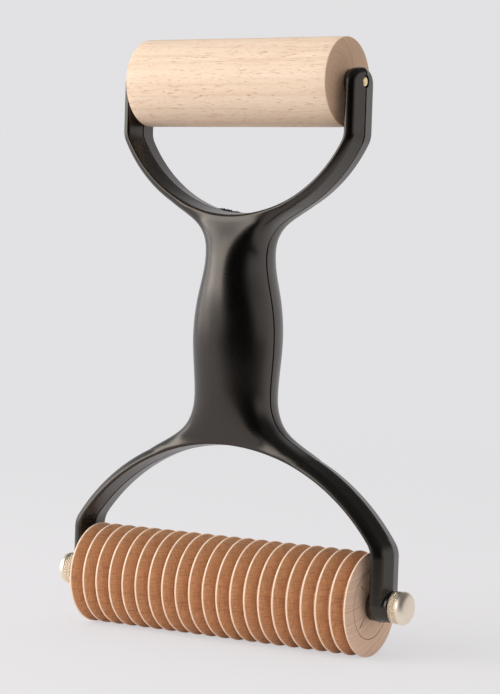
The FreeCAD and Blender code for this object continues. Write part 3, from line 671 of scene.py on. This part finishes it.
def nut_profile(length, radius):
    """Rows of (distance from the seat, radius, whether it is knurled) from the bore to the head."""
    face_end = NUT_FACE + NUT_GROOVE
    groove_floor = radius - NUT_GROOVE_DEPTH
    inside = radius - NUT_SHOULDER - NUT_HEAD_INSET
    reach = inside / math.sin(NUT_DOME_LEAN) + NUT_SHOULDER
    dome_centre = length - reach
    shoulder = (dome_centre + (reach - NUT_SHOULDER) * math.cos(NUT_DOME_LEAN), inside)
    bore = [(NUT_BORE_DEPTH, 0), (NUT_BORE_DEPTH, NUT_BORE), (0, NUT_BORE)]
    knurl = [(x, radius) for x in np.linspace(NUT_EDGE, NUT_FACE - NUT_EDGE, KNURL_ROWS)]
    head = [(NUT_FACE, groove_floor), (face_end, groove_floor)]
    head += [(face_end + past, radius - inset) for past, inset in NUT_HEAD_RIM]
    head += arc_points(shoulder, NUT_SHOULDER, 90, math.degrees(NUT_DOME_LEAN), 6)
    for share in (0.8, 0.6, 0.4, 0.2):
        lean = NUT_DOME_LEAN * share
        head.append((dome_centre + reach * math.cos(lean), reach * math.sin(lean)))
    rows = [(x, r, False) for x, r in bore + [(0, radius - NUT_EDGE - KNURL_DEPTH)]]
    rows += [(x, r, True) for x, r in knurl]
    return rows + [(x, r, False) for x, r in head + [(length, 0)]]


def knurl_cut(turns, x):
    """How deep a diamond knurl is cut, 0 to 1: two sets of slanting V grooves."""
    first = np.abs(2 * ((turns + x / KNURL_LEAN) % 1) - 1)
    second = np.abs(2 * ((turns - x / KNURL_LEAN) % 1) - 1)
    return 1 - np.minimum(first, second)


def press_knurl(vertices, rows):
    """Move the vertices of the knurled rows inwards to the knurl's depth."""
    turns = np.arange(NUT_STEPS) / STEPS_PER_TOOTH
    start = 0
    for x, radius, knurled in rows:
        steps = NUT_STEPS if radius else 1
        if knurled:
            ring = vertices[start:start + steps]
            scale = 1 - KNURL_DEPTH * knurl_cut(turns, x) / radius
            ring[:, 1] *= scale
            ring[:, 2] = LOWER_AXIS + (ring[:, 2] - LOWER_AXIS) * scale
        start += steps


def make_nut(side, material):
    """A cap nut: a diamond knurl next to the arm, a fine groove and a smooth domed head."""
    low, high = extent(f"cap_nut_{side}")
    sign = 1 if side == "right" else -1
    seat = low.x if side == "right" else high.x
    rows = nut_profile(high.x - low.x, high.y)
    vertices, faces = lathe([(x, radius) for x, radius, knurled in rows], NUT_STEPS, LOWER_AXIS)
    vertices = np.array(vertices)
    press_knurl(vertices, rows)
    vertices[:, 0] = seat + sign * vertices[:, 0]
    if sign < 0:
        faces = [face[::-1] for face in faces]
    nut = new_object(f"cap_nut_{side}_plated", vertices, faces, material, SHARP_ANGLE)
    finish_piece(nut, f"cap_nut_{side}", f"cap_nut_{side}")


# ---------------------------------------------------------------- materials

FACE_FADE = (0.3, 0.1)  # how far inside a face its own colour begins and is full


class Nodes:
    """Short ways to add nodes to a tree. A source is a number, a colour or another node's output."""

    def __init__(self, tree):
        self.tree = tree

    def node(self, kind, **values):
        """A new node, with input sockets or properties set by name."""
        made = self.tree.nodes.new(kind)
        for name, value in values.items():
            if name in made.inputs:
                made.inputs[name].default_value = value
            else:
                setattr(made, name, value)
        return made

    def feed(self, source, socket):
        """Set an input socket to a source."""
        if isinstance(source, (int, float)):
            socket.default_value = source
        elif isinstance(source, tuple):
            socket.default_value = (*source, 1)
        else:
            self.tree.links.new(source, socket)

    def compute(self, operation, *sources):
        """The result of a Math node."""
        made = self.node("ShaderNodeMath", operation=operation)
        for source, socket in zip(sources, made.inputs):
            self.feed(source, socket)
        return made.outputs[0]

    def compute_vector(self, operation, where, second=(0, 0, 0)):
        """The result of a Vector Math node: a number for a length or product, else a vector."""
        made = self.node("ShaderNodeVectorMath", operation=operation)
        made.inputs[1].default_value = second
        self.feed(where, made.inputs[0])
        single = operation in ("DOT_PRODUCT", "LENGTH")
        return made.outputs["Value" if single else "Vector"]

    def span(self, source, low, high, to_low=0.0, to_high=1.0, smooth=False):
        """The source's range from low to high, mapped to another range and held beyond it."""
        made = self.node("ShaderNodeMapRange")
        if smooth:
            made.interpolation_type = "SMOOTHSTEP"
        made.inputs["From Min"].default_value = low
        made.inputs["From Max"].default_value = high
        made.inputs["To Min"].default_value = to_low
        made.inputs["To Max"].default_value = to_high
        self.feed(source, made.inputs["Value"])
        return made.outputs["Result"]

    def choose(self, share, first, second):
        """The first shader, or the second where the share is 1."""
        made = self.node("ShaderNodeMixShader")
        for source, socket in zip((share, first, second), made.inputs):
            self.feed(source, socket)
        return made.outputs[0]

    def rays(self):
        """1 for rays from the camera, also through something clear, and 1 for mirrored rays."""
        ray = self.node("ShaderNodeLightPath")
        seen = self.compute("MAXIMUM", ray.outputs["Is Camera Ray"], ray.outputs["Is Transmission Ray"])
        return seen, ray.outputs["Is Glossy Ray"]


class Shader(Nodes):
    """A Principled material with short ways to add patterns to it."""

    def __init__(self, name):
        self.material = bpy.data.materials.new(name)
        self.material.use_nodes = True
        super().__init__(self.material.node_tree)
        self.surface = self.tree.nodes["Principled BSDF"]

    def put(self, name, source):
        """Set one of the surface's inputs to a source."""
        self.feed(source, self.surface.inputs[name])

    def position(self, stretch):
        """Object coordinates in millimetres, stretched along each axis."""
        place = self.node("ShaderNodeTexCoord").outputs["Object"]
        return self.compute_vector("MULTIPLY", place, [value / MM for value in stretch])

    def noise(self, where, scale, detail=2.0, roughness=0.5, distortion=0.0):
        """Plain noise, with scale as its cycles per unit of where."""
        made = self.node("ShaderNodeTexNoise", Scale=scale, Detail=detail, Roughness=roughness)
        made.inputs["Distortion"].default_value = distortion
        self.feed(where, made.inputs["Vector"])
        return made.outputs["Fac"]

    def grain(self, stretch, detail, roughness=0.5, distortion=0.0):
        """Noise with its own cycles per millimetre along each axis."""
        return self.noise(self.position(stretch), 1.0, detail, roughness, distortion)

    def ramp(self, source, *stops):
        """A colour ramp with stops of (place, colour)."""
        made = self.node("ShaderNodeValToRGB")
        elements = made.color_ramp.elements
        while len(elements) < len(stops):
            elements.new(0.5)
        for element, (place, colour) in zip(elements, stops):
            element.position = place
            element.color = (*colour, 1)
        self.feed(source, made.inputs["Fac"])
        return made.outputs["Color"]

    def mix(self, share, first, second):
        """The first colour, or the second where the share is 1."""
        made = self.node("ShaderNodeMix", data_type="RGBA")
        for source, number in ((share, 0), (first, 6), (second, 7)):
            self.feed(source, made.inputs[number])
        return made.outputs[2]

    def bump(self, height, distance, strength):
        """Relief of a height source, with its distance in millimetres."""
        made = self.node("ShaderNodeBump", Strength=strength, Distance=distance * MM)
        self.feed(height, made.inputs["Height"])
        self.put("Normal", made.outputs["Normal"])

    def from_line(self, y, z):
        """Distance in millimetres from a line along X."""
        away = self.compute_vector("SUBTRACT", self.position((0, 1, 1)), (0, y, z))
        return self.compute_vector("LENGTH", away)

    def along_x(self, source):
        """A value as the X of a place, for noise that depends on it alone."""
        made = self.node("ShaderNodeCombineXYZ")
        self.feed(source, made.inputs["X"])
        return made.outputs[0]

    def growth_rings(self, heart, scale, wander):
        """Growth rings about the heart of the tree, wandering slowly along it."""
        slow = self.grain((0.016, 0.05, 0.05), 1.0)
        drift = self.span(slow, 0, 1, -wander, wander)
        return self.noise(self.along_x(self.compute("ADD", self.from_line(*heart), drift)), scale)

    def on_end(self, half):
        """1 on the end faces of a roller and 0 along it."""
        apart = self.node("ShaderNodeSeparateXYZ")
        self.feed(self.position((1, 1, 1)), apart.inputs[0])
        return self.near_face(self.compute("ABSOLUTE", apart.outputs["X"]), half)

    def near_face(self, distance, face):
        """1 where a distance reaches that of a face and 0 below it."""
        start, full = FACE_FADE
        return self.span(distance, face - start, face - full)


def enamel():
    """Black satin enamel on a die casting: fine pebbling and slight changes of gloss."""
    shader = Shader("black_enamel")
    where = shader.position((1, 1, 1))
    cloud = shader.noise(where, 0.09)
    tint = shader.ramp(cloud, (0.3, (0.0011, 0.0011, 0.0012)), (0.7, (0.0016, 0.0015, 0.0016)))
    shader.put("Base Color", tint)
    shader.put("Specular IOR Level", 0.82)
    shader.put("Specular Tint", (1.0, 0.88, 0.77))
    shader.put("Roughness", shader.span(shader.noise(where, 0.12, 3.0), 0.3, 0.7, 0.26, 0.31))
    shader.bump(shader.noise(where, 1.6, 3.0, 0.6), 0.015, 0.4)
    return shader.material


# Where the heart of the tree lay for each roller, as (y, z) of a line along X.
PLAIN_HEART = (-9, UPPER_AXIS + 2)
GROOVED_HEART = (-16, LOWER_AXIS + 30)

# Cycles per millimetre, the least noise that shows and the strength of two sizes of ray flecks.
RAY_FLECKS = (((0.24, 2.1, 2.1), 0.66, 0.62), ((0.36, 3.2, 3.2), 0.645, 0.6))

# Cycles per millimetre and the strength of the dark lines that cross the grooves both ways.
GROOVE_LINES = (((0.05, 0.25, 3.2), 0.4), ((0.05, 2.8, 0.25), 0.35))

# How far off the scribed circle its dark line begins and is full.
LINE_FADE = (0.25, 0.1)


def plain_beech():
    """Pale beech turned along X: soft growth bands, fine pores and many short ray flecks."""
    shader = Shader("plain_beech")
    bands = shader.grain((0.006, 0.16, 0.3), 4.0, 0.6, 0.6)
    dark, middle, pale = (0.77, 0.57, 0.415), (0.86, 0.665, 0.5), (0.89, 0.715, 0.56)
    base = shader.ramp(bands, (0.3, dark), (0.5, middle), (0.7, pale))
    rings = shader.growth_rings(PLAIN_HEART, 0.9, 5)
    base = shader.mix(shader.span(rings, 0.54, 0.62, 0.0, 0.16), base, (0.62, 0.39, 0.22))
    pores = shader.grain((0.14, 2.6, 2.6), 3.0, 0.7)
    base = shader.mix(shader.span(pores, 0.3, 0.6, 0.22, 0.0), base, (0.6, 0.38, 0.22))
    for stretch, least, strength in RAY_FLECKS:
        rays = shader.grain(stretch, 1.0, 0.4)
        flecks = shader.span(rays, least, least + 0.07, 0.0, strength)
        base = shader.mix(flecks, base, (0.5, 0.28, 0.13))
    end_rings = shader.growth_rings(PLAIN_HEART, 0.8, 1)
    end_tone = shader.ramp(end_rings, (0.35, (0.7, 0.45, 0.29)), (0.65, (0.8, 0.54, 0.36)))
    shader.put("Base Color", shader.mix(shader.on_end(PLAIN_HALF), base, end_tone))
    shader.put("Roughness", 0.65)
    shader.put("Specular IOR Level", 0.35)
    shader.bump(pores, 0.03, 0.35)
    return shader.material


def grooved_flank_and_painted_shade(shader, radius, bands, streaks):
    """The grooves' colour: end grain darkened by painted shade, deepest towards the floor, with turned
    streaks, crossing rays and rings.
    """
    # Painted shade: the flanks darken towards the groove floor, as if the neighbouring lands shaded
    # them.
    depth = shader.span(radius, CUTTER_RADIUS - GROOVE_DEPTH, CUTTER_RADIUS)
    flank_and_painted_shade = shader.ramp(depth, (0.0, (0.5, 0.24, 0.11)), (0.9, (0.69, 0.36, 0.175)))
    flank_and_painted_shade = shader.mix(shader.span(bands, 0.35, 0.7, 0.0, 0.4), flank_and_painted_shade, (0.5, 0.225, 0.095))
    flank_and_painted_shade = shader.mix(shader.span(streaks, 0.35, 0.65, 0.35, 0.0), flank_and_painted_shade, (0.88, 0.56, 0.33))
    for stretch, strength in GROOVE_LINES:
        lines = shader.grain(stretch, 2.0, 0.6, 0.25)
        flank_and_painted_shade = shader.mix(shader.span(lines, 0.5, 0.64, 0.0, strength), flank_and_painted_shade, (0.26, 0.105, 0.045))
    return flank_and_painted_shade


def grooved_end(shader, radius):
    """The grooved roller's end grain: growth rings, fine grain and the dark scribed circle."""
    rings = shader.growth_rings(GROOVED_HEART, 0.95, 1)
    tone = shader.ramp(rings, (0.35, (0.7, 0.46, 0.32)), (0.62, (0.83, 0.6, 0.45)))
    grain = shader.grain((0.1, 2.2, 0.25), 2.0, 0.6)
    tone = shader.mix(shader.span(grain, 0.5, 0.7, 0.0, 0.3), tone, (0.5, 0.27, 0.15))
    start, full = LINE_FADE
    entered = shader.span(radius, SCRIBED_RADIUS - start, SCRIBED_RADIUS - full)
    passed = shader.span(radius, SCRIBED_RADIUS + full, SCRIBED_RADIUS + start)
    return shader.mix(passed, shader.mix(entered, tone, (0.4, 0.21, 0.12)), tone)


def grooved_beech():
    """Redder beech: pale worn lands, and turned grooves darkened by painted shade."""
    shader = Shader("grooved_beech")
    radius = shader.from_line(0, LOWER_AXIS)
    bands = shader.grain((0.004, 0.55, 0.07), 3.0, 0.6, 0.3)
    streaks = shader.noise(shader.along_x(radius), 3.2, 3.0, 0.7)
    flank_and_painted_shade = grooved_flank_and_painted_shade(shader, radius, bands, streaks)
    land = shader.ramp(bands, (0.3, (0.86, 0.62, 0.44)), (0.7, (0.93, 0.73, 0.56)))
    side = shader.mix(shader.near_face(radius, CUTTER_RADIUS), flank_and_painted_shade, land)
    end = grooved_end(shader, radius)
    shader.put("Base Color", shader.mix(shader.on_end(CUTTER_HALF), side, end))
    shader.put("Roughness", 0.62)
    shader.put("Specular IOR Level", 0.35)
    shader.bump(streaks, 0.03, 0.5)
    return shader.material


def metal(name, colour, roughness):
    """A metal with fine marks in its gloss."""
    shader = Shader(name)
    where = shader.position((1, 1, 1))
    marks = shader.noise(where, 1.4, 4.0)
    shader.put("Base Color", colour)
    shader.put("Metallic", 1.0)
    shader.put("Roughness", shader.span(marks, 0.3, 0.7, roughness - 0.05, roughness + 0.05))
    shader.bump(shader.noise(where, 2.0), 0.002, 0.1)
    return shader.material


# ---------------------------------------------------------------- stage, light and camera

BACKDROP = (0.76, 0.755, 0.77)
FLOOR_COLOUR = (0.9, 0.865, 0.875)
FLOOR_REACH = 2500
FLOOR_SIDES = 64
ROOM = (0.004, 0.004, 0.004)
CEILING = (0.1, 0.1, 0.1)
AMBIENT = (0.71, 0.71, 0.71)

# The dark room is a sector round a direction to the front right, where the camera stands. On the
# floor, millimetres along that direction say where the dark begins and is full, and where the
# camera's view of bare floor ends. In the world, the numbers are cosines of the angle from it.
DARK_SIDE = (0.743, -0.669, 0)
DARK_FLOOR = (130, 320)
BARE_FLOOR = (120, 190)
DARK_SECTOR = (0.87, 0.48)

# Near the object the camera sees this share of plain backdrop colour and for the rest the lit
# floor with the shadows. At the far end of the span it sees the backdrop's colour alone.
FLOOR_GLOW = 0.7
GLOW_SPAN = (250, 1100)

# The mirrored paper ends at a dark ceiling, which lies round both of these directions. The second
# leans to the front right, so that the paper reaches higher at the back. The edge's numbers are
# cosines of the angle from them.
UP = (0, 0, 1)
UP_AND_FORWARD = (0.2, -0.16, 0.967)
CEILING_EDGE = (0.5, 0.2)


def make_floor():
    """A pale floor that shows the backdrop's colour and the object's shadows.

    The enamel mirrors it as the same pale paper, but as dark in the sector of the dark room.
    """
    shader = Shader("backdrop")
    towards_dark = shader.compute_vector("DOT_PRODUCT", shader.position((1, 1, 1)), DARK_SIDE)
    dark = shader.span(towards_dark, *DARK_FLOOR)
    shader.put("Base Color", shader.mix(dark, FLOOR_COLOUR, ROOM))
    shader.put("Roughness", 0.9)
    shader.put("Specular IOR Level", 0.0)
    distance = shader.compute_vector("LENGTH", shader.position((1, 1, 0)))
    glow = shader.span(distance, *GLOW_SPAN, FLOOR_GLOW, 1.0)
    beside_dark = shader.span(towards_dark, *BARE_FLOOR, 1.0, 0.0)
    bare = shader.compute("MULTIPLY", shader.compute("SUBTRACT", 1.0, glow), beside_dark)
    seen, mirrored = shader.rays()
    seen_paper = shader.compute("MULTIPLY", seen, shader.compute("SUBTRACT", 1.0, bare))
    pale = shader.compute("SUBTRACT", 1.0, dark)
    mirrored_paper = shader.compute("MULTIPLY", mirrored, shader.compute("MULTIPLY", glow, pale))
    share = shader.compute("MAXIMUM", seen_paper, mirrored_paper)
    paper = shader.node("ShaderNodeEmission", Color=(*BACKDROP, 1)).outputs[0]
    surface = shader.choose(share, shader.surface.outputs[0], paper)
    shader.feed(surface, shader.tree.nodes["Material Output"].inputs["Surface"])
    vertices = [(0, 0, FLOOR_HEIGHT)]
    for step in range(FLOOR_SIDES):
        angle = 2 * math.pi * step / FLOOR_SIDES
        across, along = FLOOR_REACH * math.cos(angle), FLOOR_REACH * math.sin(angle)
        vertices.append((across, along, FLOOR_HEIGHT))
    faces = [(0, step + 1, (step + 1) % FLOOR_SIDES + 1) for step in range(FLOOR_SIDES)]
    new_object("floor", vertices, faces, shader.material)


def make_world():
    """The backdrop's colour all round for the camera, and a plain level of light for the object.

    Mirrored rays see the same paper up to a low height, with a dark ceiling above it and the
    dark room where the camera stands.
    """
    world = bpy.data.worlds.new("studio")
    bpy.context.scene.world = world
    world.use_nodes = True
    studio = Nodes(world.node_tree)
    where = studio.node("ShaderNodeTexCoord").outputs["Generated"]

    def turned_from(direction, near, far):
        """0 to 1 by how far a ray turns from a direction, between two cosines of the angle."""
        cosine = studio.compute_vector("DOT_PRODUCT", where, direction)
        return studio.span(cosine, near, far, smooth=True)

    def background(colour):
        return studio.node("ShaderNodeBackground", Color=(*colour, 1)).outputs[0]

    paper = background(BACKDROP)
    ceiling = studio.choose(turned_from(UP_AND_FORWARD, *CEILING_EDGE), background(CEILING), paper)
    around = studio.choose(turned_from(UP, *CEILING_EDGE), ceiling, paper)
    around = studio.choose(turned_from(DARK_SIDE, *DARK_SECTOR), background(ROOM), around)
    ambient = studio.tree.nodes["Background"]
    ambient.inputs["Color"].default_value = (*AMBIENT, 1)
    seen, mirrored = studio.rays()
    light = studio.choose(mirrored, ambient.outputs[0], around)
    output = studio.tree.nodes["World Output"]
    studio.feed(studio.choose(seen, light, paper), output.inputs["Surface"])


def softbox(name, turn, rise, distance, size, power):
    """A flat lamp aimed at the object, from a direction in degrees: turn 0 is the front."""
    light = bpy.data.lights.new(name, "AREA")
    light.shape = "RECTANGLE"
    light.size, light.size_y = size
    light.energy = power
    lamp = bpy.data.objects.new(name, light)
    turn, rise = math.radians(turn), math.radians(rise)
    level = math.cos(rise)
    away = Vector((math.sin(turn) * level, -math.cos(turn) * level, math.sin(rise)))
    lamp.location = away * distance
    lamp.rotation_euler = (-away).to_track_quat("-Z", "Y").to_euler()
    bpy.context.scene.collection.objects.link(lamp)


CAMERA_TURN = math.radians(31.79)
CAMERA_DROP = math.radians(2.40)
CAMERA_ROLL = math.radians(1.912)
CAMERA_DISTANCE = 886.8
CAMERA_AIM = Vector((0, 8.5, -4.2))
CAMERA_LENS = 123.07


def make_camera():
    """The photograph's view: from the front right, slightly above the object's middle."""
    camera = bpy.data.cameras.new("camera")
    camera.lens = CAMERA_LENS
    camera.sensor_fit = "VERTICAL"
    camera.sensor_height = 36
    camera.clip_end = 20
    view = bpy.data.objects.new("camera", camera)
    turned = Matrix.Rotation(CAMERA_TURN, 3, "Z")
    tilted = Matrix.Rotation(math.pi / 2 - CAMERA_DROP, 3, "X")
    rolled = Matrix.Rotation(CAMERA_ROLL, 3, "Z")
    facing = turned @ tilted @ rolled
    place = CAMERA_AIM + facing @ Vector((0, 0, CAMERA_DISTANCE))
    view.matrix_world = Matrix.Translation(place * MM) @ facing.to_4x4()
    bpy.context.scene.collection.objects.link(view)
    bpy.context.scene.camera = view


# ---------------------------------------------------------------- the scene

steel = metal("bright_steel_finish", (1.0, 0.8, 0.46), 0.3)
nickel = metal("nickel_finish", (0.96, 0.85, 0.71), 0.5)

make_casting(enamel())
make_plain_roller(plain_beech())
make_cutter_roller(grooved_beech())
make_pin(steel)
axle = frame["nodes"]["cutter_axle"].data  # the axle keeps its CAD mesh
axle.materials.clear()
axle.materials.append(steel)
make_nut("right", nickel)
make_nut("left", nickel)

make_floor()
make_world()
softbox("key", turn=-36, rise=24, distance=1.1, size=(1.15, 0.72), power=7.9)
softbox("side", turn=-66, rise=9, distance=1.1, size=(1.1, 0.42), power=2.4)
make_camera()
bpy.context.scene.view_settings.view_transform = "Standard"
